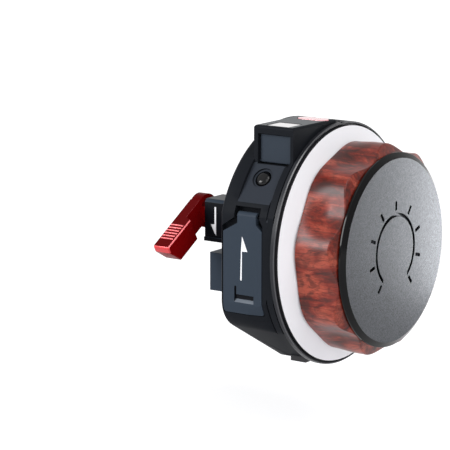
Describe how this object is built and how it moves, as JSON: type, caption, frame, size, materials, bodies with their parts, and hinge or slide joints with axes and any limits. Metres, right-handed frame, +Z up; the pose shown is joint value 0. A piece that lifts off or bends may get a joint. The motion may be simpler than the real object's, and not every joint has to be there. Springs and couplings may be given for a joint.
{
  "type": "lens follow focus",
  "caption": "Wireless hand unit for focusing a camera lens: white marking ring, fluted wooden wheel, battery door, record button and a quick-release rail clamp with a red lever.",
  "frame": {"origin": "on the clamp's rail seat, where the wheel's axis meets it", "axes": "+X along the wheel's axis from the rail seat to the wheel's cap; +Z up, towards the record button; +Y away from the battery door; the rail runs along Z"},
  "size_m": [0.0591, 0.0744, 0.0739],
  "materials": {
    "black_anodised": "fine matte black anodising on turned and milled aluminium",
    "bezel_black": "matte black anodising, bright on its machined edge",
    "cap_black": "matte dark grey face with a polished bevel",
    "ring_white": "smooth satin white marking surface",
    "oiled_wood": "oiled and polished red-brown hardwood with dark veins along the axis",
    "red_anodised": "glossy red anodising",
    "plain_steel": "ground steel",
    "screw_steel": "blackened steel",
    "black_plastic": "matte black moulding",
    "gloss_black": "glossy black moulding",
    "record_red": "translucent pink-red moulding",
    "window_clear": "clear window, lit white by the display under it",
    "display_grey": "pale display face",
    "board_green": "green solder mask",
    "chip_black": "moulded chip package",
    "magnet_nickel": "nickel-plated magnet",
    "contact_gold": "gold-plated spring contacts",
    "cell_wrap": "shrink sleeve of the battery pack",
    "glide_white": "slippery white polymer",
    "port_grey": "slate-grey moulding"
  },
  "bodies": {
    "unit": {"rear_housing": "black_anodised", "front_bezel": "bezel_black", "index_mark": "gloss_black", "stop_pin": "plain_steel", "glide_ring": "glide_white", "rear_outer_race": "plain_steel", "rear_balls": "plain_steel", "front_outer_race": "plain_steel", "front_balls": "plain_steel", "housing_screws": "screw_steel", "main_board": "board_green", "board_screws": "screw_steel", "encoder_chip": "chip_black", "radio_module": "chip_black", "top_board": "board_green", "display_panel": "display_grey", "display_window": "window_clear", "record_switch": "chip_black", "socket_shell": "plain_steel", "socket_tongue": "chip_black", "cal_board": "board_green", "cal_switch": "chip_black", "battery_tray": "black_plastic", "battery_pack": "cell_wrap", "battery_contacts": "contact_gold", "slide_switch": "chip_black", "mount_plate": "black_anodised", "plate_screws": "screw_steel", "clamp_body": "black_anodised", "clamp_screws": "screw_steel"},
    "wheel": {"wheel_hub": "black_anodised", "rear_inner_race": "plain_steel", "front_inner_race": "plain_steel", "bearing_spacer": "plain_steel", "shaft_clip": "plain_steel", "encoder_magnet": "magnet_nickel", "marking_ring": "ring_white", "wood_grip": "oiled_wood", "ring_screws": "screw_steel", "wheel_cap": "cap_black", "cap_screws": "screw_steel"},
    "record_button": {"record_button": "record_red"},
    "cal_button": {"cal_button": "gloss_black"},
    "power_slider": {"power_slider": "black_plastic"},
    "port_cover": {"port_cover": "port_grey"},
    "door_pivot": {"door_pin": "plain_steel"},
    "door": {"battery_door": "black_anodised"},
    "lever": {"lock_lever": "red_anodised", "cam_shaft": "plain_steel", "lever_screw": "plain_steel"},
    "jaw": {"moving_jaw": "black_anodised"}
  },
  "joints": [
    {"name": "wheel_spin", "type": "hinge", "parent": "unit", "child": "wheel", "pos_m": [0.033, 0, 0], "axis": [1, 0, 0], "range_deg": [-150, 150]},
    {"name": "record_press", "type": "slide", "parent": "unit", "child": "record_button", "axis": [0, 0, -1], "range_m": [0, 0.0005], "stiffness_N_per_m": 400, "springref_m": -0.0005},
    {"name": "cal_press", "type": "slide", "parent": "unit", "child": "cal_button", "axis": [0, 0.7705, -0.6374], "range_m": [0, 0.00045], "stiffness_N_per_m": 400, "springref_m": -0.0005},
    {"name": "power_slide", "type": "slide", "parent": "unit", "child": "power_slider", "axis": [1, 0, 0], "range_m": [0, 0.002]},
    {"name": "cover_swing", "type": "hinge", "parent": "unit", "child": "port_cover", "pos_m": [0.0242, -0.02255, 0.02665], "axis": [1, 0, 0], "range_deg": [0, 90]},
    {"name": "door_slide", "type": "slide", "parent": "unit", "child": "door_pivot", "axis": [0, 0, 1], "range_m": [0, 0.0013]},
    {"name": "door_swing", "type": "hinge", "parent": "door_pivot", "child": "door", "pos_m": [0.0216, -0.0328, 0.012], "axis": [1, 0, 0], "range_deg": [-100, 0]},
    {"name": "lever_turn", "type": "hinge", "parent": "unit", "child": "lever", "pos_m": [-0.005, -0.016, 0.0082], "axis": [1, 0, 0], "range_deg": [-90, 0]},
    {"name": "jaw_slide", "type": "slide", "parent": "unit", "child": "jaw", "axis": [0, 1, 0], "range_m": [-0.0012, 0]}
  ],
  "couplings": [
    {"joint": "jaw_slide", "follows": "lever_turn", "m_per_rad": 0.00076394}
  ]
}
